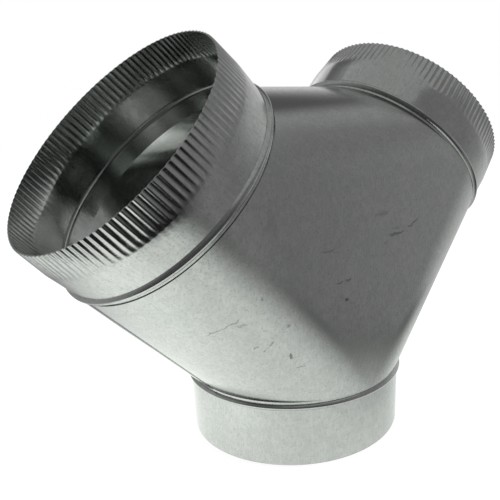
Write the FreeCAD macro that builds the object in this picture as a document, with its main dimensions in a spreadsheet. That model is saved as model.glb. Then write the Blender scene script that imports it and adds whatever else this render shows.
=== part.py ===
import FreeCAD
import Part
import Sketcher
import math
import os
from FreeCAD import Placement, Rotation, Vector

# Galvanised sheet metal wye for round duct. The origin is the centre of the open rim of the
# plain inlet collar, which the fitting stands on. +Z runs up the inlet, and the two branches
# lean out towards -X and +X. All sizes are in millimetres and degrees.
SIZES = {
    "duct_bore": 152.4,              # inside diameter of the plain collar
    "sheet_gauge": 0.5,              # one thickness for every sheet
    "inlet_collar_length": 47.0,     # open rim to the edge of the body
    "branch_collar_length": 43.0,    # edge of the body to the crimped rim
    "collar_tail": 8.0,              # part of each collar that sits inside the body
    "tail_clearance": 0.1,           # collar tail to the inside of the body, radial
    "bead_gap": 0.2,                 # edge of the body to the foot of the bead
    "bead_width": 6.0,
    "bead_height": 2.0,
    "crimp_length": 19.0,
    "crimp_count": 120,
    "crimp_draw": 1.85,              # drop of the lands at the rim, radial
    "crimp_depth": 1.2,              # bottom of a groove below the lands, at the rim
    "crimp_groove": 2.0,             # width of a groove at the rim
    "branch_angle": 45.0,            # each branch axis from the inlet axis
    "fork_height": 37.5,             # inlet edge of the body to the meeting point of the axes
    "branch_reach": 135.0,           # meeting point of the axes to a branch edge of the body
    "body_seam_lap": 10.0,           # width of the lapped seam down each side of the body
    "collar_seam_lap": 10.0,         # width of the lapped seam of a collar
}

doc = FreeCAD.newDocument("duct_wye")
sheet = doc.addObject("Spreadsheet::Sheet", "dims")
for row, (alias, value) in enumerate(SIZES.items(), start=1):
    sheet.set(f"A{row}", alias)
    sheet.set(f"B{row}", str(value))
    sheet.setAlias(f"B{row}", alias)
doc.recompute()

# Sizes that follow from the sheet, as expressions.
COLLAR_OUT = "(dims.duct_bore / 2 + dims.sheet_gauge)"
COLLAR_IN = "(dims.duct_bore / 2)"
FORK = "(dims.inlet_collar_length + dims.fork_height)"
LEAN_SIN = "sin(dims.branch_angle * 1deg)"
LEAN_COS = "cos(dims.branch_angle * 1deg)"
BRANCH_X = f"(dims.branch_reach * {LEAN_SIN})"
BRANCH_Z = f"({FORK} + dims.branch_reach * {LEAN_COS})"
BEAD_FOOT = "(dims.collar_tail + dims.bead_gap)"
BEAD_END = f"({BEAD_FOOT} + dims.bead_width)"
TAIL_X = f"(dims.collar_tail * {LEAN_SIN})"
TAIL_Z = f"(dims.collar_tail * {LEAN_COS})"

RULINGS = 14    # straight folds laid out in each quarter turn of a side of the body


def size(alias):
    return float(sheet.get(alias))


def origin_plane(body, role):
    return next(item for item in body.Origin.OriginFeatures if item.Role == role)


def plane_sketch(body, name, role):
    sketch = body.newObject("Sketcher::SketchObject", name)
    sketch.AttachmentSupport = [(origin_plane(body, role), "")]
    sketch.MapMode = "FlatFace"
    return sketch


def bind(sketch, index, name, expression):
    sketch.renameConstraint(index, name)
    sketch.setExpression(f"Constraints.{name}", expression)


def closed_profile(sketch, corners):
    # Straight-sided profile whose corners are bound to the sheet, all at x and y of zero or more.
    count = len(corners)
    for index in range(count):
        start = Vector(index + 1, index * index + 1, 0)
        end = Vector(index + 2, (index + 1) ** 2 + 1, 0)
        sketch.addGeometry(Part.LineSegment(start, end))
    for index in range(count):
        after = (index + 1) % count
        sketch.addConstraint(Sketcher.Constraint("Coincident", index, 2, after, 1))
    for index, (across, along) in enumerate(corners):
        for kind, expression in (("DistanceX", across), ("DistanceY", along)):
            made = sketch.addConstraint(Sketcher.Constraint(kind, -1, 1, index, 1, 1.0 + index))
            bind(sketch, made, f"corner_{index}_{kind[-1].lower()}", expression)


def openings():
    # The three openings of the body: the plane's place, with its Z along the axis of the collar.
    lean = math.radians(size("branch_angle"))
    across = size("branch_reach") * math.sin(lean)
    height = size("inlet_collar_length") + size("fork_height") + size("branch_reach") * math.cos(lean)
    inlet = Placement(Vector(0, 0, size("inlet_collar_length")), Rotation())
    left = Placement(Vector(-across, 0, height), Rotation(Vector(0, 1, 0), -size("branch_angle")))
    right = Placement(Vector(across, 0, height), Rotation(Vector(0, 1, 0), size("branch_angle")))
    return inlet, left, right


def fold_angle(angle, radius):
    # Where a straight fold of a side that leaves the inlet at an angle from the flat arrives at the
    # branch. Both ends share one tangent plane, so the sheet bends without stretching: the tangents
    # meet on the line in which the planes of the two openings cross.
    lean = math.radians(size("branch_angle"))
    reach, rise = size("branch_reach"), size("fork_height")
    inlet_to_line = (reach + rise * math.cos(lean)) / math.sin(lean)
    branch_to_line = (rise + reach * math.cos(lean)) / math.sin(lean)
    meeting = (radius - inlet_to_line * math.sin(angle)) / math.cos(angle)
    return math.asin(radius / math.hypot(branch_to_line, meeting)) - math.atan2(meeting, branch_to_line)


def half_rim(opening, side, radius, quarter):
    # Half of the edge of an opening, from flat to flat, as an arc from each fold to the next.
    angles = quarter + [math.pi - angle for angle in reversed(quarter[:-1])]

    def at(angle):
        return opening.multVec(Vector(side * radius * math.sin(angle), radius * math.cos(angle), 0))

    return [Part.Arc(at(a), at((a + b) / 2), at(b)).toBSpline().toShape() for a, b in zip(angles, angles[1:])]


def folded_form(radius):
    # Three equal circles wrapped by sheet: flat front and back between their centres, and a
    # half-round side bent along straight folds from each circle to the next.
    inlet, left, right = openings()
    even = [math.pi / 2 * step / RULINGS for step in range(RULINGS + 1)]
    matched = [fold_angle(angle, radius) for angle in even]
    level = [0, math.pi / 2]
    left_side = [half_rim(inlet, -1, radius, even), half_rim(left, -1, radius, matched)]
    right_side = [half_rim(inlet, 1, radius, even), half_rim(right, 1, radius, matched)]
    crotch = [half_rim(left, 1, radius, level), half_rim(right, -1, radius, level)]
    faces = []
    for first, second in (left_side, right_side, crotch):
        faces += [Part.makeRuledSurface(*ends) for ends in zip(first, second)]
    for halves in (left_side[0] + right_side[0], left_side[1] + crotch[0], right_side[1] + crotch[1]):
        faces.append(Part.Face(Part.Wire(Part.__sortEdges__(halves))))
    for depth in (-radius, radius):
        corners = [opening.multVec(Vector(0, depth, 0)) for opening in (inlet, left, right, inlet)]
        faces.append(Part.Face(Part.makePolygon(corners)))
    solid = Part.Solid(Part.Shell(faces))
    return solid if solid.Volume > 0 else solid.reversed()


def side_seam(inlet, branch, side, radius):
    # Lapped seam down the middle of a side: a flat strip that stands one gauge proud of the body.
    half = size("body_seam_lap") / 2
    low, high = side * (radius - size("sheet_gauge") / 2), side * (radius + size("sheet_gauge"))
    ring = [Vector(low, -half, 0), Vector(high, -half, 0), Vector(high, half, 0), Vector(low, half, 0)]
    ends = [Part.makePolygon([place.multVec(corner) for corner in ring + ring[:1]])
            for place in (inlet, branch)]
    return Part.makeLoft(ends, True, True)


def solid_feature(name, shape):
    feature = doc.addObject("Part::Feature", name)
    feature.Shape = shape
    return feature


def beaded_sleeve(name, end):
    # Rolled collar with an outward stop bead, in its own frame: the tail's edge at zero, the
    # axis along +Z, the plain wall up to end.
    body = doc.addObject("PartDesign::Body", name)
    wall = plane_sketch(body, f"{name}_wall", "XZ_Plane")
    outside = [
        (COLLAR_OUT, "0"),
        (COLLAR_OUT, BEAD_FOOT),
        (f"{COLLAR_OUT} + dims.bead_height", f"{BEAD_FOOT} + dims.bead_width / 2"),
        (COLLAR_OUT, BEAD_END),
        (COLLAR_OUT, end),
    ]
    inside = [(f"{across} - dims.sheet_gauge", along) for across, along in reversed(outside)]
    closed_profile(wall, outside + inside)
    turned = body.newObject("PartDesign::Revolution", f"{name}_turned")
    turned.Profile = wall
    turned.ReferenceAxis = (wall, ["V_Axis"])
    turned.Angle = 360
    return body


def collar_seam(body, name, inner, outer, end, turn):
    # Joggled lap along the plain wall of a collar: a second thickness over one seam width.
    strip = plane_sketch(body, f"{name}_strip", "XZ_Plane")
    strip.AttachmentOffset = Placement(Vector(), Rotation(Vector(0, 1, 0), turn))
    closed_profile(strip, [(inner, BEAD_END), (outer, BEAD_END), (outer, end), (inner, end)])
    lap = body.newObject("PartDesign::Revolution", f"{name}_lap")
    lap.Profile = strip
    lap.ReferenceAxis = (strip, ["V_Axis"])
    lap.Midplane = True
    lap.setExpression("Angle", f"dims.collar_seam_lap / {COLLAR_OUT} * 180 / pi")
    return lap


def flute_faces(radius, start):
    # One crimp of a collar's skin: a land that narrows towards the rim and the two walls of the
    # groove beside it, which runs out to a point at the start of the crimp.
    rim = start + size("crimp_length")
    land_radius = radius - size("crimp_draw")
    pitch = 2 * math.pi / size("crimp_count")
    half = size("crimp_groove") / 2 / land_radius

    def at(distance, angle, height):
        return Vector(distance * math.cos(angle), distance * math.sin(angle), height)

    point, after = at(radius, 0, start), at(radius, pitch, start)
    begin, end = at(land_radius, half, rim), at(land_radius, pitch - half, rim)
    root = at(land_radius - size("crimp_depth"), 0, rim)
    base = Part.Arc(point, at(radius, pitch / 2, start), after).toBSpline().toShape()
    lip = Part.makeLine(begin, end)
    sides = [Part.makeLine(after, end), Part.makeLine(begin, point)]
    taper = Part.makeCone(radius, land_radius, size("crimp_length"), Vector(0, 0, start))
    land = Part.Face(taper.Faces[0].Surface, Part.Wire(Part.__sortEdges__([base, lip] + sides)))
    land.validate()
    near = Part.makePolygon([point, root, begin, point])
    far = Part.makePolygon([point, at(land_radius, -half, rim), root, point])
    return [land, Part.Face(near), Part.Face(far)], base, [lip, near.Edges[1], far.Edges[1]]


def turned_copies(shapes):
    count = int(size("crimp_count"))
    step = 360 / count
    axis = Vector(0, 0, 1)
    return [shape.rotated(Vector(), axis, step * index) for index in range(count) for shape in shapes]


def crimped_skirt(start):
    # The crimped end of a branch collar, from the plain wall to the rim.
    faces, feet, lips = [], [], []
    for radius in (size("duct_bore") / 2 + size("sheet_gauge"), size("duct_bore") / 2):
        flute, foot, lip = flute_faces(radius, start)
        faces += turned_copies(flute)
        feet.append(Part.Wire(Part.__sortEdges__(turned_copies([foot]))))
        lips.append(Part.Wire(Part.__sortEdges__(turned_copies(lip))))
    faces += [Part.makeFace(rings, "Part::FaceMakerBullseye") for rings in (feet, lips)]
    solid = Part.Solid(Part.Shell(faces))
    return solid if solid.Volume > 0 else solid.reversed()


# Body: one folded sheet with a lapped seam down each side.
neck_in = size("duct_bore") / 2 + size("sheet_gauge") + size("tail_clearance")
neck_out = neck_in + size("sheet_gauge")
inlet_plane, left_plane, right_plane = openings()
outside = doc.addObject("Part::MultiFuse", "body_outside")
outside.Shapes = [
    solid_feature("body_form", folded_form(neck_out)),
    solid_feature("left_seam", side_seam(inlet_plane, left_plane, -1, neck_out)),
    solid_feature("right_seam", side_seam(inlet_plane, right_plane, 1, neck_out)),
]
shell = doc.addObject("Part::Cut", "body_shell")
shell.Base = outside
shell.Tool = solid_feature("body_inside", folded_form(neck_in))

# Plain inlet collar, tail up, with its seam lapped outwards so that the bore stays smooth.
inlet_end = "(dims.collar_tail + dims.inlet_collar_length)"
inlet = beaded_sleeve("inlet_collar", inlet_end)
collar_seam(inlet, "inlet_seam", f"{COLLAR_OUT} - dims.sheet_gauge / 2",
            f"{COLLAR_OUT} + dims.sheet_gauge", inlet_end, 0)
inlet.Placement = Placement(Vector(), Rotation(Vector(1, 0, 0), 180))
inlet.setExpression("Placement.Base.z", inlet_end)

# Crimped branch collars, with the seam lapped inwards so that a duct slides over them.
crimp_start = "(dims.collar_tail + dims.branch_collar_length - dims.crimp_length)"
sleeve = beaded_sleeve("branch_sleeve", crimp_start)
collar_seam(sleeve, "branch_seam", f"{COLLAR_IN} - dims.sheet_gauge",
            f"{COLLAR_IN} + dims.sheet_gauge / 2", crimp_start, 180)
skirt_foot = size("collar_tail") + size("branch_collar_length") - size("crimp_length")
left = doc.addObject("Part::Fuse", "left_branch_collar")
left.Base = solid_feature("branch_skirt", crimped_skirt(skirt_foot))
left.Tool = sleeve
left.Placement = Placement(Vector(), Rotation(Vector(0, 1, 0), -1))
left.setExpression("Placement.Base.x", f"-{BRANCH_X} + {TAIL_X}")
left.setExpression("Placement.Base.z", f"{BRANCH_Z} - {TAIL_Z}")
left.setExpression("Placement.Rotation.Angle", "-dims.branch_angle")
right = doc.addObject("Part::Mirroring", "right_branch_collar")
right.Source = left
right.Normal = Vector(1, 0, 0)

doc.recompute()
for item in doc.Objects:
    if "Invalid" in item.State or "Error" in item.State:
        raise RuntimeError(f"{item.Name} did not build: {item.State}")

nodes = [shell, inlet, left, right]
for node in nodes:
    if node.Shape.isNull() or not node.Shape.isValid() or len(node.Shape.Solids) != 1:
        raise RuntimeError(f"{node.Label} is not one valid solid")

os.makedirs("parts", exist_ok=True)
for node in nodes:
    node.Shape.exportStep(f"parts/{node.Label}.step")
    print(f"{node.Label}: {node.Shape.Volume:.0f} cubic millimetres")
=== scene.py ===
import bmesh
import bpy
import math
from mathutils import Matrix, Vector


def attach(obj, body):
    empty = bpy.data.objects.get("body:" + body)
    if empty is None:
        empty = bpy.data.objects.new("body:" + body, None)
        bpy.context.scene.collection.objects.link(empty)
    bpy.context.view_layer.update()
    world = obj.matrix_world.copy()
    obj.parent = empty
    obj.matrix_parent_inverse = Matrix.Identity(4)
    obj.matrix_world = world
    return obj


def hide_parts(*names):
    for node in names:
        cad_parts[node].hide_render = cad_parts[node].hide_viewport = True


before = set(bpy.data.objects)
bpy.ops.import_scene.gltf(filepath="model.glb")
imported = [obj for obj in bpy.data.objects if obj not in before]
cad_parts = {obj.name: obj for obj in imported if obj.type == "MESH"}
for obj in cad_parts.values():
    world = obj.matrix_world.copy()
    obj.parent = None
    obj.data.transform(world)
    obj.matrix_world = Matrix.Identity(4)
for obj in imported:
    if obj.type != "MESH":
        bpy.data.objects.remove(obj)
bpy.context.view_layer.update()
scene = bpy.context.scene
print("frame loaded")

duct = {  # shared sizes in metres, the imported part's apart from the bead's place and width
    "radius": 0.0767, "gauge": 0.0005, "neckRadius": 0.0773,
    "inletEdge": 0.047, "forkHeight": 0.0375, "reach": 0.135, "lean": math.radians(45),
    "tail": 0.008, "tailRows": (0.0, 0.004), "beadFoot": 0.0097, "beadWidth": 0.0046, "beadHeight": 0.002,
    "beadSteps": 12, "beadFullness": 0.8,  # under 1, the bead's flanks are steeper
}
beadEnd = duct["beadFoot"] + duct["beadWidth"]
branchX = duct["reach"] * math.sin(duct["lean"])
branchZ = duct["inletEdge"] + duct["forkHeight"] + duct["reach"] * math.cos(duct["lean"])
closeTo = 1e-6  # metres, for points found by their place


def clearSelection():
    if bpy.context.object and bpy.context.object.mode == "EDIT":
        bpy.ops.object.mode_set(mode="OBJECT")
    bpy.ops.object.select_all(action="DESELECT")


def newPiece(name):
    piece = bpy.context.object
    piece.name = piece.data.name = name
    return piece


def selectOnly(piece):
    clearSelection()
    piece.select_set(True)
    bpy.context.view_layer.objects.active = piece


def pick(piece, wanted, kind="verts"):  # select by place or normal, in edit mode
    shape = bmesh.from_edit_mesh(piece.data)
    bpy.ops.mesh.select_all(action="DESELECT")
    for item in getattr(shape, kind):
        if wanted(item):
            item.select_set(True)
    shape.select_flush_mode()
    bmesh.update_edit_mesh(piece.data)


def solidifySheet(piece, thickness):
    skin = piece.modifiers.new("sheet", "SOLIDIFY")
    skin.thickness = thickness
    skin.offset = -1
    skin.use_even_offset = True
    bpy.ops.object.modifier_apply(modifier="sheet")


def finishShading(piece, degrees):
    selectOnly(piece)
    bpy.ops.object.shade_smooth_by_angle(angle=math.radians(degrees))


def wallRows(*heights):  # height along the collar and radius, on the plain wall
    return [(height, duct["radius"]) for height in heights]


def beadRows():  # the same over the stop bead
    rows = []
    for step in range(duct["beadSteps"] + 1):
        share = step / duct["beadSteps"]
        swell = math.sin(math.pi * share) ** duct["beadFullness"]
        height = duct["beadFoot"] + share * duct["beadWidth"]
        rows.append((height, duct["radius"] + duct["beadHeight"] * swell))
    return rows


def rollCollar(name, segments, rows):  # a ring drawn up row by row
    clearSelection()
    height, radius = rows[0]
    bpy.ops.mesh.primitive_circle_add(vertices=segments, radius=radius, location=(0, 0, height))
    piece = newPiece(name)
    bpy.ops.object.transform_apply(location=True, rotation=True, scale=True)
    bpy.ops.object.mode_set(mode="EDIT")
    bpy.ops.mesh.select_mode(type="VERT")
    bpy.ops.mesh.select_all(action="SELECT")
    for nextHeight, nextRadius in rows[1:]:
        bpy.ops.mesh.extrude_region_move(TRANSFORM_OT_translate={"value": (0, 0, nextHeight - height)})
        growth = nextRadius / radius
        bpy.ops.transform.resize(value=(growth, growth, 1), center_override=(0, 0, nextHeight))
        height, radius = nextHeight, nextRadius
    bpy.ops.mesh.select_all(action="SELECT")
    bpy.ops.mesh.normals_make_consistent(inside=False)
    bpy.ops.object.mode_set(mode="OBJECT")
    return piece


def raiseLap(piece, wanted, height):  # second thickness of a lapped seam
    bpy.ops.object.mode_set(mode="EDIT")
    bpy.ops.mesh.select_mode(type="FACE")
    pick(piece, wanted, "faces")
    bpy.ops.mesh.extrude_region_shrink_fatten(TRANSFORM_OT_shrink_fatten={"value": height})
    bpy.ops.object.mode_set(mode="OBJECT")


def placePiece(piece, turn, place):
    selectOnly(piece)
    piece.rotation_euler = turn
    piece.location = place
    bpy.ops.object.transform_apply(location=True, rotation=True, scale=True)


inletCollar = {
    "segments": 360, "rows": (0.0172, 0.034), "end": 0.055, "smoothUnder": 32,
    "lap": 0.010, "lapFacing": 0.9,  # the seam's width, and how squarely its faces look out
}


def onInletLap(face):  # a strip outside the wall, from the bead to the rim
    middle = face.calc_center_median()
    inStrip = abs(middle.y) < inletCollar["lap"] / 2 and middle.z > beadEnd
    return inStrip and face.normal.x > inletCollar["lapFacing"]


plainRows = wallRows(*duct["tailRows"]) + beadRows() + wallRows(*inletCollar["rows"], inletCollar["end"])
inlet = rollCollar("inletCollar", inletCollar["segments"], plainRows)
solidifySheet(inlet, duct["gauge"])
raiseLap(inlet, onInletLap, duct["gauge"])
finishShading(inlet, inletCollar["smoothUnder"])
placePiece(inlet, (math.pi, 0, 0), (0, 0, inletCollar["end"]))
print("inlet collar rolled")

branchCollar = {
    "crimps": 120, "perCrimp": 10, "rows": (0.0172, 0.026), "start": 0.032, "rim": 0.051, "draw": 0.00185,
    "crimpRows": [0.0, 0.0006, 0.0012, 0.0018, 0.0024, 0.0032, 0.0045, 0.008, 0.012, 0.016, 0.019],
    "flutePress": (0.00017, 0.00070), "pressedOver": 0.0040,  # depth just past the start and at the rim
    "flute": {0: 1.0, 1: 0.97, 2: 0.80, 3: 0.46, 4: 0.12},  # share of the depth, by steps off the middle
    "lap": 0.010, "lapFacing": 0.9, "smoothUnder": 40,
}
crimpLength = branchCollar["rim"] - branchCollar["start"]
collarSegments = branchCollar["crimps"] * branchCollar["perCrimp"]


def crimpDrop(distance):  # how far the lands are drawn in
    return branchCollar["draw"] * distance / crimpLength


def fluteDepth(distance):  # eased in at the start, then deeper towards the rim
    first, last = branchCollar["flutePress"]
    share = min(1.0, distance / branchCollar["pressedOver"])
    along = distance / crimpLength
    return first * share * share * (3 - 2 * share) + (last - first) * along


def inGroove(vert, height, steps):  # in this row, so many steps off a groove's middle
    if abs(vert.co.z - height) > closeTo:
        return False
    turn = round(math.atan2(vert.co.y, vert.co.x) / (2 * math.pi) * collarSegments)
    within = turn % branchCollar["perCrimp"]
    return min(within, branchCollar["perCrimp"] - within) == steps


def pressCrimps(piece):
    bpy.ops.object.mode_set(mode="EDIT")
    bpy.ops.mesh.select_mode(type="VERT")
    for distance in branchCollar["crimpRows"][1:]:
        height = branchCollar["start"] + distance
        radius = duct["radius"] - crimpDrop(distance)
        for steps, share in branchCollar["flute"].items():
            pick(piece, lambda vert: inGroove(vert, height, steps))
            press = 1 - share * fluteDepth(distance) / radius
            bpy.ops.transform.resize(value=(press, press, 1), center_override=(0, 0, height))
    bpy.ops.object.mode_set(mode="OBJECT")


def onBranchLap(face):  # a strip inside the wall, from the bead to the crimps
    middle = face.calc_center_median()
    inStrip = abs(middle.y) < branchCollar["lap"] / 2 and beadEnd < middle.z < branchCollar["start"]
    return inStrip and middle.x < 0 and face.normal.x > branchCollar["lapFacing"]


crimpedRows = wallRows(*duct["tailRows"]) + beadRows() + wallRows(*branchCollar["rows"])
for distance in branchCollar["crimpRows"]:
    crimpedRows.append((branchCollar["start"] + distance, duct["radius"] - crimpDrop(distance)))
leftCollar = rollCollar("leftBranchCollar", collarSegments, crimpedRows)
pressCrimps(leftCollar)
solidifySheet(leftCollar, duct["gauge"])
raiseLap(leftCollar, onBranchLap, duct["gauge"])
finishShading(leftCollar, branchCollar["smoothUnder"])
collarX = -branchX + duct["tail"] * math.sin(duct["lean"])
collarZ = branchZ - duct["tail"] * math.cos(duct["lean"])
placePiece(leftCollar, (0, -duct["lean"], 0), (collarX, 0, collarZ))

bpy.ops.object.duplicate()
rightCollar = newPiece("rightBranchCollar")
bpy.ops.object.mode_set(mode="EDIT")
bpy.ops.mesh.select_all(action="SELECT")
bpy.ops.transform.resize(value=(-1, 1, 1), center_override=(0, 0, 0))
bpy.ops.mesh.flip_normals()
bpy.ops.object.mode_set(mode="OBJECT")
print("branch collars crimped")

bodyShell = {
    "arcSteps": 96, "foldGroups": 16, "bridgeCuts": 3, "seedSize": 0.001, "middleMerge": 1e-5,
    "flatFacing": 0.9999, "flatArea": 0.001,  # only the front and back have faces larger than this
    "flatInset": 0.0015, "lap": 0.010, "lapFacing": 0.3, "smoothUnder": 32,
}


def foldAngle(angle):  # branch end of the straight fold that leaves the inlet at this angle from the flat
    sine, cosine = math.sin(duct["lean"]), math.cos(duct["lean"])
    inletToLine = (duct["reach"] + duct["forkHeight"] * cosine) / sine
    branchToLine = (duct["forkHeight"] + duct["reach"] * cosine) / sine
    meeting = (duct["neckRadius"] - inletToLine * math.sin(angle)) / math.cos(angle)
    tangent = math.asin(duct["neckRadius"] / math.hypot(branchToLine, meeting))
    return tangent - math.atan2(meeting, branchToLine)


def startPoint(place):  # one loose point in the piece being edited
    bpy.ops.mesh.select_all(action="DESELECT")
    bpy.ops.mesh.primitive_plane_add(size=bodyShell["seedSize"], location=place)
    bpy.ops.mesh.merge(type="CENTER")


def spinEdge(place, centre, axis, turns):  # half an opening's edge, spun from the flat
    startPoint(place)
    for turn, steps in turns:
        bpy.ops.mesh.spin(steps=steps, angle=turn, center=centre, axis=axis)


def onCrotchEdge(vert):  # the half of the left opening that faces the other branch
    offset = vert.co - leftCentre
    return abs(offset.dot(leftAxis)) < closeTo and offset.dot(leftAcross) > -closeTo


def onBodyLap(face):  # a strip outside each side
    middle = face.calc_center_median()
    outwards = face.normal.x * math.copysign(1, middle.x)
    return abs(middle.y) < bodyShell["lap"] / 2 and outwards > bodyShell["lapFacing"]


clearSelection()
bpy.ops.mesh.primitive_plane_add(size=bodyShell["seedSize"], location=(0, 0, 0))
body = newPiece("bodyShell")
bpy.ops.object.mode_set(mode="EDIT")
bpy.ops.mesh.select_mode(type="VERT")
bpy.ops.mesh.delete(type="VERT")
halfGroups = bodyShell["foldGroups"] // 2
groupSteps = bodyShell["arcSteps"] // bodyShell["foldGroups"]
foldStops = [math.pi / 2 * step / halfGroups for step in range(halfGroups + 1)]
branchStops = [foldAngle(stop) for stop in foldStops]
quarterTurns = [(after - before, groupSteps) for before, after in zip(branchStops, branchStops[1:])]
sideTurns = [(-turn, steps) for turn, steps in quarterTurns + quarterTurns[::-1]]
inletCentre = Vector((0, 0, duct["inletEdge"]))
leftCentre = Vector((-branchX, 0, branchZ))
leftAxis = Vector((-math.sin(duct["lean"]), 0, math.cos(duct["lean"])))
leftAcross = Vector((math.cos(duct["lean"]), 0, math.sin(duct["lean"])))
flatOut = Vector((0, duct["neckRadius"], 0))
spinEdge(inletCentre + flatOut, inletCentre, (0, 0, 1), [(-math.pi, bodyShell["arcSteps"])])
spinEdge(leftCentre + flatOut, leftCentre, leftAxis, sideTurns)
bpy.ops.mesh.select_all(action="SELECT")  # left side, folded from the inlet to the branch
bpy.ops.mesh.bridge_edge_loops(number_cuts=bodyShell["bridgeCuts"], interpolation="LINEAR")
for side in (-1, 1):  # lines of the lapped seam
    bpy.ops.mesh.select_all(action="SELECT")
    bpy.ops.mesh.bisect(plane_co=(0, side * bodyShell["lap"] / 2, 0), plane_no=(0, 1, 0))
spinEdge(leftCentre + flatOut, leftCentre, leftAxis, [(math.pi, bodyShell["arcSteps"])])
bpy.ops.mesh.select_all(action="SELECT")
bpy.ops.mesh.remove_doubles(threshold=closeTo)
pick(body, onCrotchEdge)
bpy.ops.mesh.extrude_region_move()
bpy.ops.transform.resize(value=(0, 1, 1), center_override=(0, 0, 0))  # crotch, up to the middle plane
for side in (-1, 1):  # half of the flat front and back
    pick(body, lambda vert: abs(vert.co.y - side * duct["neckRadius"]) < closeTo)
    bpy.ops.mesh.edge_face_add()
bpy.ops.object.mode_set(mode="OBJECT")
other = body.modifiers.new("otherHalf", "MIRROR")
other.use_axis = (True, False, False)
other.merge_threshold = bodyShell["middleMerge"]
bpy.ops.object.modifier_apply(modifier="otherHalf")
bpy.ops.object.mode_set(mode="EDIT")
bpy.ops.mesh.select_all(action="SELECT")
bpy.ops.mesh.normals_make_consistent(inside=False)
bpy.ops.mesh.select_mode(type="FACE")
for side in (-1, 1):  # whole front and back, each one face with a narrow margin
    pick(body, lambda face: abs(face.normal.y) > bodyShell["flatFacing"]
         and face.calc_center_median().y * side > 0 and face.calc_area() > bodyShell["flatArea"], "faces")
    bpy.ops.mesh.dissolve_faces()
    bpy.ops.mesh.inset(thickness=bodyShell["flatInset"])
bpy.ops.object.mode_set(mode="OBJECT")
solidifySheet(body, duct["gauge"])
raiseLap(body, onBodyLap, duct["gauge"])
finishShading(body, bodyShell["smoothUnder"])
print("body folded")


def addNode(tree, kind, **values):
    node = tree.nodes.new(kind)
    for name, value in values.items():
        setattr(node, name, value)
    return node


def feed(tree, value, socket):  # a link, or a plain value
    if isinstance(value, bpy.types.NodeSocket):
        tree.links.new(value, socket)
    else:
        socket.default_value = value


def maths(tree, operation, first, second):
    node = addNode(tree, "ShaderNodeMath", operation=operation)
    feed(tree, first, node.inputs[0])
    feed(tree, second, node.inputs[1])
    return node.outputs[0]


def spread(tree, value, low, high, newLow=0.0, newHigh=1.0):  # one range onto another, with soft ends
    node = addNode(tree, "ShaderNodeMapRange", interpolation_type="SMOOTHSTEP")
    feed(tree, value, node.inputs["Value"])
    feed(tree, low, node.inputs["From Min"])
    feed(tree, high, node.inputs["From Max"])
    feed(tree, newLow, node.inputs["To Min"])
    feed(tree, newHigh, node.inputs["To Max"])
    return node.outputs["Result"]


def blend(tree, factor, first, second):  # from one colour to the other
    mix = addNode(tree, "ShaderNodeMix", data_type="RGBA")
    feed(tree, factor, mix.inputs["Factor"])
    feed(tree, first, mix.inputs["A"])
    feed(tree, second, mix.inputs["B"])
    return mix.outputs["Result"]


def noise(tree, place, perMetre, detail, distortion=0.0):
    texture = addNode(tree, "ShaderNodeTexNoise")
    feed(tree, place, texture.inputs["Vector"])
    feed(tree, perMetre, texture.inputs["Scale"])
    feed(tree, detail, texture.inputs["Detail"])
    feed(tree, distortion, texture.inputs["Distortion"])
    return texture.outputs


def mapped(tree, place, kind="POINT", location=(0, 0, 0), turn=(0, 0, 0), size=(1, 1, 1)):
    node = addNode(tree, "ShaderNodeMapping", vector_type=kind)
    feed(tree, place, node.inputs["Vector"])
    feed(tree, location, node.inputs["Location"])
    feed(tree, turn, node.inputs["Rotation"])
    feed(tree, size, node.inputs["Scale"])
    return node.outputs["Vector"]


def startGroup(name, numbers, outputs):
    group = bpy.data.node_groups.new(name, "ShaderNodeTree")
    group.interface.new_socket(name="Place", in_out="INPUT", socket_type="NodeSocketVector")
    for socketName in numbers:
        group.interface.new_socket(name=socketName, in_out="INPUT", socket_type="NodeSocketFloat")
    for socketName in outputs:
        group.interface.new_socket(name=socketName, in_out="OUTPUT", socket_type="NodeSocketFloat")
    return group, addNode(group, "NodeGroupInput").outputs, addNode(group, "NodeGroupOutput").inputs


def useGroup(tree, group, place, **numbers):
    node = addNode(tree, "ShaderNodeGroup", node_tree=group)
    feed(tree, place, node.inputs["Place"])
    for name, value in numbers.items():
        feed(tree, value, node.inputs[name])
    return node.outputs


zinc = {
    "dark": (0.525, 0.543, 0.527, 1), "light": (0.590, 0.604, 0.592, 1), "toneSpan": (0.36, 0.66),
    "roughness": (0.12, 0.18), "roughSpan": (0.3, 0.7), "relief": 0.045, "reliefDepth": 0.0004,
    "grain": 700, "cloud": 90, "spangle": 260,  # to the metre
    "alongRolling": (1, 1, 0.3),  # marks run the way the sheet was rolled
    "fineShare": 0.6, "cloudShare": 0.22, "spangleShare": 0.15,
}

zincGrain, given, out = startGroup("zincGrain", ["Grain", "Cloud", "Spangle"], ["Tone", "Relief"])
alongRolling = mapped(zincGrain, given["Place"], size=zinc["alongRolling"])
fine = noise(zincGrain, alongRolling, given["Grain"], detail=2.0)["Fac"]
peel = noise(zincGrain, given["Place"], given["Grain"], detail=1.0)["Fac"]
clouds = noise(zincGrain, alongRolling, given["Cloud"], detail=3.0, distortion=0.4)["Fac"]
crystals = addNode(zincGrain, "ShaderNodeTexVoronoi")
feed(zincGrain, given["Place"], crystals.inputs["Vector"])
feed(zincGrain, given["Spangle"], crystals.inputs["Scale"])
crystalTone = addNode(zincGrain, "ShaderNodeSeparateColor")
feed(zincGrain, crystals.outputs["Color"], crystalTone.inputs["Color"])
tone = maths(zincGrain, "MULTIPLY", fine, zinc["fineShare"])
for pattern, share in ((clouds, zinc["cloudShare"]), (crystalTone.outputs["Red"], zinc["spangleShare"])):
    tone = maths(zincGrain, "ADD", tone, maths(zincGrain, "MULTIPLY", pattern, share))
feed(zincGrain, tone, out["Tone"])
feed(zincGrain, maths(zincGrain, "ADD", fine, peel), out["Relief"])

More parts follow.
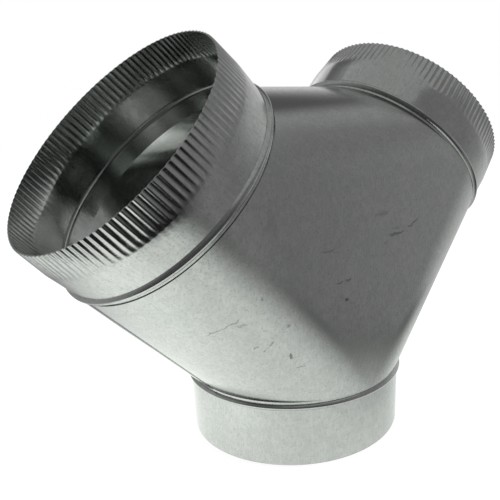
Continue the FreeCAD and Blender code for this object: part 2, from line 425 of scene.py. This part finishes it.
wear = {
    "colour": (0.17, 0.17, 0.168, 1), "roughness": 0.45,
    "patchScale": 22.0, "rarity": 0.66, "patchTop": 0.8,  # where scratches gather
    "scratchScale": 300.0, "scratchSpan": (0.60, 0.72),
    "scratchTurn": (0, 0.35, 0), "scratchStretch": (0.35, 0.35, 1.4),
    "fleckScale": 900.0, "fleckSpan": (0.56, 0.70), "fleckStrength": 0.20,  # small dark specks all over
}

scuffs, given, out = startGroup("scuffs", ["Marks", "Rarity", "Fleck"], ["Mask"])
patches = noise(scuffs, given["Place"], wear["patchScale"], detail=2.0)["Fac"]
patchMask = spread(scuffs, patches, given["Rarity"], wear["patchTop"])
scratchPlace = mapped(scuffs, given["Place"], turn=wear["scratchTurn"], size=wear["scratchStretch"])
scratches = noise(scuffs, scratchPlace, given["Marks"], detail=4.0, distortion=1.2)["Fac"]
scratchMask = maths(scuffs, "MULTIPLY", spread(scuffs, scratches, *wear["scratchSpan"]), patchMask)
flecks = noise(scuffs, given["Place"], wear["fleckScale"], detail=1.0)["Fac"]
fleckMask = maths(scuffs, "MULTIPLY", spread(scuffs, flecks, *wear["fleckSpan"]), given["Fleck"])
feed(scuffs, maths(scuffs, "MAXIMUM", scratchMask, fleckMask), out["Mask"])

rubEdges = {  # sizes in metres, scales to the metre
    "wander": 0.006, "wanderScale": 190.0, "depth": 0.012,
    "raggedScale": 800.0, "raggedness": 2.0, "wornSpan": (0.18, 0.6),
}
flatFront = -duct["neckRadius"]
bodyMarks = {  # place, half length and half width in metres, tilt in degrees, strength
    "longRub": ((0.0211, flatFront, 0.1461), 0.0120, 0.0013, 2, 0.60),
    "longRubEnd": ((0.0377, flatFront, 0.1511), 0.0090, 0.0013, 23, 0.60),
    "crossRub": ((0.0198, flatFront, 0.1501), 0.0070, 0.0013, -2, 0.28),
    "upperRub": ((0.0062, flatFront, 0.1608), 0.0100, 0.0016, 7, 0.28),
    "tailRub": ((0.0108, flatFront, 0.1421), 0.0040, 0.0014, 19, 0.30),
    "shortRub": ((-0.0397, flatFront, 0.1465), 0.0085, 0.0011, 2, 0.40),
    "middleRub": ((-0.0315, flatFront, 0.1255), 0.0045, 0.0011, 8, 0.55),
    "middleRubEnd": ((-0.0238, flatFront, 0.1252), 0.0045, 0.0011, 6, 0.55),
    "nick": ((-0.0245, flatFront, 0.1136), 0.0022, 0.0017, 0, 0.90),
    "dullPatch": ((-0.0797, flatFront, 0.1670), 0.0070, 0.0100, 10, 0.16),
    "sideScrape": ((-0.1059, -0.0560, 0.1100), 0.0090, 0.0009, 31, 0.50),
    "sideScrapeEnd": ((-0.0991, -0.0635, 0.1153), 0.0080, 0.0009, 46, 0.50),
    "sideRub": ((-0.0949, -0.0653, 0.1134), 0.0050, 0.0011, 10, 0.35),
    "sideSpeck": ((-0.0790, -0.0657, 0.0944), 0.0024, 0.0013, 68, 0.50),
    "sideSpeckHigh": ((-0.0774, -0.0681, 0.0983), 0.0026, 0.0014, 56, 0.50),
    "sideSpeckLeft": ((-0.0844, -0.0638, 0.0971), 0.0020, 0.0013, 63, 0.45),
    "sideNick": ((-0.0638, -0.0700, 0.0865), 0.0042, 0.0014, -71, 0.75),
    "footScrape": ((-0.0574, -0.0699, 0.0782), 0.0048, 0.0009, 3, 0.45),
    "sideDot": ((-0.0858, -0.0735, 0.1280), 0.0019, 0.0015, 44, 0.40),
    "edgeDot": ((-0.0677, -0.0744, 0.1087), 0.0019, 0.0015, 58, 0.40),
}


def placedMarks(tree, place, marks):  # ragged rubs at known places
    wander = rubEdges["wander"]
    shift = addNode(tree, "ShaderNodeVectorMath", operation="MULTIPLY_ADD")
    feed(tree, noise(tree, place, rubEdges["wanderScale"], detail=3.0)["Color"], shift.inputs[0])
    feed(tree, (wander, wander, wander), shift.inputs[1])
    feed(tree, place, shift.inputs[2])
    centred = mapped(tree, shift.outputs["Vector"], location=(-wander / 2, -wander / 2, -wander / 2))
    ragged = noise(tree, place, rubEdges["raggedScale"], detail=4.0)["Fac"]
    ragged = maths(tree, "MULTIPLY", ragged, rubEdges["raggedness"])
    total = 0.0
    for spot, halfLength, halfWidth, tilt, strength in marks.values():
        turn = (0, -math.radians(tilt), 0)
        local = mapped(tree, centred, "TEXTURE", spot, turn, (halfLength, rubEdges["depth"], halfWidth))
        blob = addNode(tree, "ShaderNodeTexGradient", gradient_type="SPHERICAL")
        feed(tree, local, blob.inputs["Vector"])
        worn = maths(tree, "MULTIPLY", blob.outputs["Fac"], ragged)
        total = maths(tree, "MAXIMUM", total, spread(tree, worn, *rubEdges["wornSpan"], 0.0, strength))
    return total


def galvanised(name, turn, marks):  # turn sets the rolling direction on the piece
    material = bpy.data.materials.new(name)
    material.use_nodes = True
    tree = material.node_tree
    shader = tree.nodes["Principled BSDF"]
    shader.inputs["Metallic"].default_value = 1
    place = addNode(tree, "ShaderNodeTexCoord").outputs["Object"]
    rolled = mapped(tree, place, turn=(0, turn, 0))
    grain = useGroup(tree, zincGrain, rolled,
                     Grain=zinc["grain"], Cloud=zinc["cloud"], Spangle=zinc["spangle"])
    worn = useGroup(tree, scuffs, rolled,
                    Marks=wear["scratchScale"], Rarity=wear["rarity"], Fleck=wear["fleckStrength"])["Mask"]
    if marks:
        worn = maths(tree, "MAXIMUM", worn, placedMarks(tree, place, marks))
    colour = blend(tree, spread(tree, grain["Tone"], *zinc["toneSpan"]), zinc["dark"], zinc["light"])
    feed(tree, blend(tree, worn, colour, wear["colour"]), shader.inputs["Base Color"])
    polished, dull = zinc["roughness"]
    roughness = spread(tree, grain["Tone"], *zinc["roughSpan"], dull, polished)
    rubbed = maths(tree, "MULTIPLY", worn, wear["roughness"] - polished)
    feed(tree, maths(tree, "ADD", roughness, rubbed), shader.inputs["Roughness"])
    bump = addNode(tree, "ShaderNodeBump")
    bump.inputs["Strength"].default_value = zinc["relief"]
    bump.inputs["Distance"].default_value = zinc["reliefDepth"]
    feed(tree, grain["Relief"], bump.inputs["Height"])
    feed(tree, bump.outputs["Normal"], shader.inputs["Normal"])
    return material


for piece, node, turn, marks in (
    (body, "body_shell", 0, bodyMarks),
    (inlet, "inlet_collar", 0, None),
    (leftCollar, "left_branch_collar", duct["lean"], None),
    (rightCollar, "right_branch_collar", -duct["lean"], None),
):
    piece.data.materials.clear()
    piece.data.materials.append(galvanised(piece.name + "Zinc", turn, marks))
    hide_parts(node)
    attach(piece, "root")
print("zinc finish made, pieces bound to the frame")


def seesBackground(tree):  # camera rays, and rays that metal or glass sends on
    path = addNode(tree, "ShaderNodeLightPath").outputs
    mirrored = maths(tree, "MAXIMUM", path["Is Glossy Ray"], path["Is Transmission Ray"])
    return path["Is Camera Ray"], mirrored


def addGlow(tree, colour, strength=1.0):
    glow = addNode(tree, "ShaderNodeEmission")
    feed(tree, colour, glow.inputs["Color"])
    feed(tree, strength, glow.inputs["Strength"])
    return glow.outputs["Emission"]


def mixShaders(tree, factor, first, second):
    mix = addNode(tree, "ShaderNodeMixShader")
    feed(tree, factor, mix.inputs["Fac"])
    feed(tree, first, mix.inputs[1])
    feed(tree, second, mix.inputs[2])
    return mix.outputs["Shader"]


paper = {
    "size": 6.0, "colour": (0.86, 0.86, 0.86, 1), "roughness": 0.9, "glow": 0.74, "white": (1, 1, 1, 1),
    "paintedPoolTint": (0.972, 1.0, 0.968, 1), "paintedPoolFade": (0.2, 1.0),  # a painted pool of light on the paper, which only the metal shows
    "paintedPoolLevel": ((-0.6, 0.8, 0), -0.05, 0.10, 0.92, 1.22),  # across, from, to, level at each
    "paintedPoolEdges": [  # across, dark end, bright end
        ((-0.6, 0.8, 0), -0.275, -0.05), ((0.86, 0.51, 0), -0.295, -0.245),
        ((-0.6, -0.8, 0), -0.20, -0.06), ((0.5, -0.87, 0), -0.34, -0.08),
    ],
}


def acrossFloor(tree, place, direction):  # distance from the middle, measured that way
    across = addNode(tree, "ShaderNodeVectorMath", operation="DOT_PRODUCT")
    feed(tree, place, across.inputs[0])
    feed(tree, direction, across.inputs[1])
    return across.outputs["Value"]


def paperWithPaintedPool(name):
    material = bpy.data.materials.new(name)
    material.use_nodes = True
    tree = material.node_tree
    sheet = tree.nodes["Principled BSDF"]
    sheet.inputs["Base Color"].default_value = paper["colour"]
    sheet.inputs["Roughness"].default_value = paper["roughness"]
    sheet.inputs["Specular IOR Level"].default_value = 0
    sheet.inputs["Emission Color"].default_value = paper["white"]
    seen, mirrored = seesBackground(tree)
    feed(tree, maths(tree, "MULTIPLY", seen, paper["glow"]), sheet.inputs["Emission Strength"])
    place = addNode(tree, "ShaderNodeTexCoord").outputs["Object"]
    away = addNode(tree, "ShaderNodeVectorMath", operation="LENGTH")
    feed(tree, place, away.inputs[0])
    # painted light: a glowing pool on the paper, fading with distance and cut off at its edges, for
    # reflected rays only
    paintedPool = spread(tree, away.outputs["Value"], *paper["paintedPoolFade"], 1.0, 0.0)
    for direction, dark, bright in paper["paintedPoolEdges"]:
        edge = spread(tree, acrossFloor(tree, place, direction), dark, bright)
        paintedPool = maths(tree, "MULTIPLY", paintedPool, edge)
    direction, *levels = paper["paintedPoolLevel"]
    glow = addGlow(tree, paper["paintedPoolTint"], spread(tree, acrossFloor(tree, place, direction), *levels))
    clear = addNode(tree, "ShaderNodeBsdfTransparent").outputs["BSDF"]
    paintedPoolShader = mixShaders(tree, paintedPool, clear, glow)  # painted pool of light, seen by reflected rays only; past its edges the painted reflection dome takes over
    surface = mixShaders(tree, mirrored, sheet.outputs["BSDF"], paintedPoolShader)
    feed(tree, surface, tree.nodes["Material Output"].inputs["Surface"])
    return material


clearSelection()
bpy.ops.mesh.primitive_plane_add(size=paper["size"], location=(0, 0, 0))
floor = newPiece("floor")
floor.data.materials.append(paperWithPaintedPool("floorPaperWithPaintedPool"))

paintedReflectionDome = {  # painted reflections of light and shade: bands by height as shares of the radius, levels as degrees round from +X and painted brightness
    "radius": 2.8, "segments": 48, "rings": 24,
    "wallFoot": (-0.41, -0.32), "wallTop": (0.28, 0.62), "ceiling": (0.74, 0.97), "ceilingLevel": 0.26,
    "underWall": [
        (-180, 0.05), (-165, 0.012), (-98, 0.014), (-90, 0.05), (-82, 0.15), (-74, 0.25), (-66, 0.24),
        (-55, 0.14), (-45, 0.09), (-30, 0.06), (-20, 0.06), (-8, 0.25), (0, 0.44), (50, 0.60), (85, 0.32),
        (135, 0.38), (160, 0.28), (180, 0.06),
    ],
    "lowWall": [
        (-180, 0.12), (-165, 0.09), (-120, 0.07), (-98, 0.07), (-86, 0.12), (-78, 0.19), (-72, 0.25),
        (-50, 0.22), (-30, 0.31), (-12, 0.50), (0, 0.58), (50, 0.68), (62, 0.80), (85, 0.32), (135, 0.38),
        (160, 0.28), (180, 0.12),
    ],
    "highWall": [
        (-180, 0.14), (-120, 0.14), (-92, 0.20), (-30, 0.24), (-10, 0.25), (5, 0.33), (17, 0.34),
        (29, 0.11), (45, 0.11), (58, 0.25), (74, 0.14), (80, 0.15), (90, 0.34), (150, 0.34), (180, 0.14),
    ],
}


def levelsRound(tree, bearing, stops):  # brightness by bearing
    ramp = addNode(tree, "ShaderNodeValToRGB")
    feed(tree, bearing, ramp.inputs["Fac"])
    elements = ramp.color_ramp.elements
    while len(elements) < len(stops):
        elements.new(1.0)
    for element, (degrees, level) in zip(elements, stops):
        element.position = degrees / 360 + 0.5
        element.color = (level, level, level, 1)
    return ramp.outputs["Color"]


def paintedReflectionWalls(name):
    material = bpy.data.materials.new(name)
    material.use_nodes = True
    tree = material.node_tree
    tree.nodes.remove(tree.nodes["Principled BSDF"])
    place = addNode(tree, "ShaderNodeSeparateXYZ")
    feed(tree, addNode(tree, "ShaderNodeTexCoord").outputs["Object"], place.inputs["Vector"])
    turn = maths(tree, "ARCTAN2", place.outputs["Y"], place.outputs["X"])
    share = maths(tree, "MULTIPLY", turn, 0.5 / math.pi)
    bearing = maths(tree, "ADD", share, 0.5)  # from 0 to 1, with +X in the middle
    brightness = levelsRound(tree, bearing, paintedReflectionDome["underWall"])
    overhead = paintedReflectionDome["ceilingLevel"]
    for band, upper in (
        ("wallFoot", levelsRound(tree, bearing, paintedReflectionDome["lowWall"])),
        ("wallTop", levelsRound(tree, bearing, paintedReflectionDome["highWall"])),
        ("ceiling", (overhead, overhead, overhead, 1)),
    ):
        low, high = (height * paintedReflectionDome["radius"] for height in paintedReflectionDome[band])
        brightness = blend(tree, spread(tree, place.outputs["Z"], low, high), brightness, upper)
    # the painted brightness glows as emission, for the metal to reflect as light and shade
    feed(tree, addGlow(tree, brightness), tree.nodes["Material Output"].inputs["Surface"])
    return material


clearSelection()
bpy.ops.mesh.primitive_uv_sphere_add(segments=paintedReflectionDome["segments"], ring_count=paintedReflectionDome["rings"],
                                     radius=paintedReflectionDome["radius"], location=(0, 0, 0))
paintedDome = newPiece("paintedReflectionDome")  # a glowing dome of painted light and shade, which the metal shows beyond the paper, out of the camera's sight
paintedDome.data.materials.append(paintedReflectionWalls("paintedReflectionMaterial"))
paintedDome.visible_camera = paintedDome.visible_diffuse = paintedDome.visible_shadow = False

lamps = {  # bearing and height in degrees, distance, width and height in metres, level
    "overhead": {"bearing": 0, "rise": 90, "distance": 1.4, "size": (1.8, 1.8), "level": 0.10},
    "window": {"bearing": 69, "rise": 22, "distance": 1.6, "size": (0.50, 0.95), "level": 0.35},
}
wattsPerArea = 4  # for a square metre of lamp that shows as plain white
for name, lamp in lamps.items():
    around, rise = math.radians(lamp["bearing"]), math.radians(lamp["rise"])
    flat = math.cos(rise)
    towards = Vector((math.cos(around) * flat, math.sin(around) * flat, math.sin(rise)))
    bpy.ops.object.light_add(type="AREA", location=towards * lamp["distance"])
    light = bpy.context.object
    light.name = name
    light.data.shape = "RECTANGLE"
    light.data.size, light.data.size_y = lamp["size"]
    light.data.energy = lamp["level"] * wattsPerArea * light.data.size * light.data.size_y
    light.rotation_euler = towards.to_track_quat("Z", "Y").to_euler()
    light.visible_camera = False

studio = {"colour": (1, 1, 1, 1), "seenLevel": 1.0, "fill": 0.45}
world = bpy.data.worlds.new("studio")
scene.world = world
world.use_nodes = True
background = world.node_tree.nodes["Background"]
background.inputs["Color"].default_value = studio["colour"]
whiteSeen = maths(world.node_tree, "MAXIMUM", *seesBackground(world.node_tree))
strength = spread(world.node_tree, whiteSeen, 0.0, 1.0, studio["fill"], studio["seenLevel"])
feed(world.node_tree, strength, background.inputs["Strength"])

view = {  # fitted to the rims, the beads and the outline in the photograph
    "yaw": -0.7537, "pitch": 0.351, "roll": -0.0207, "place": (-0.26758, -0.30343, 0.22714),
    "lens": 42.08, "sensor": 36, "shift": (-0.12, 0.125), "nearest": 0.01,
}
bpy.ops.object.camera_add()
camera = bpy.context.object
camera.name = "photoCamera"
back = Vector((math.sin(view["yaw"]) * math.cos(view["pitch"]),
               -math.cos(view["yaw"]) * math.cos(view["pitch"]), math.sin(view["pitch"])))
right = (-back).cross(Vector((0, 0, 1))).normalized()
up = right.cross(-back)
cosRoll, sinRoll = math.cos(view["roll"]), math.sin(view["roll"])
turned = Matrix((cosRoll * right + sinRoll * up, cosRoll * up - sinRoll * right, back)).transposed()
camera.matrix_world = Matrix.Translation(view["place"]) @ turned.to_4x4()
camera.data.sensor_width = view["sensor"]
camera.data.lens = view["lens"]
camera.data.shift_x, camera.data.shift_y = view["shift"]
camera.data.clip_start = view["nearest"]
scene.camera = camera
scene.view_settings.view_transform = "Standard"
print("stage, lamps and camera set")
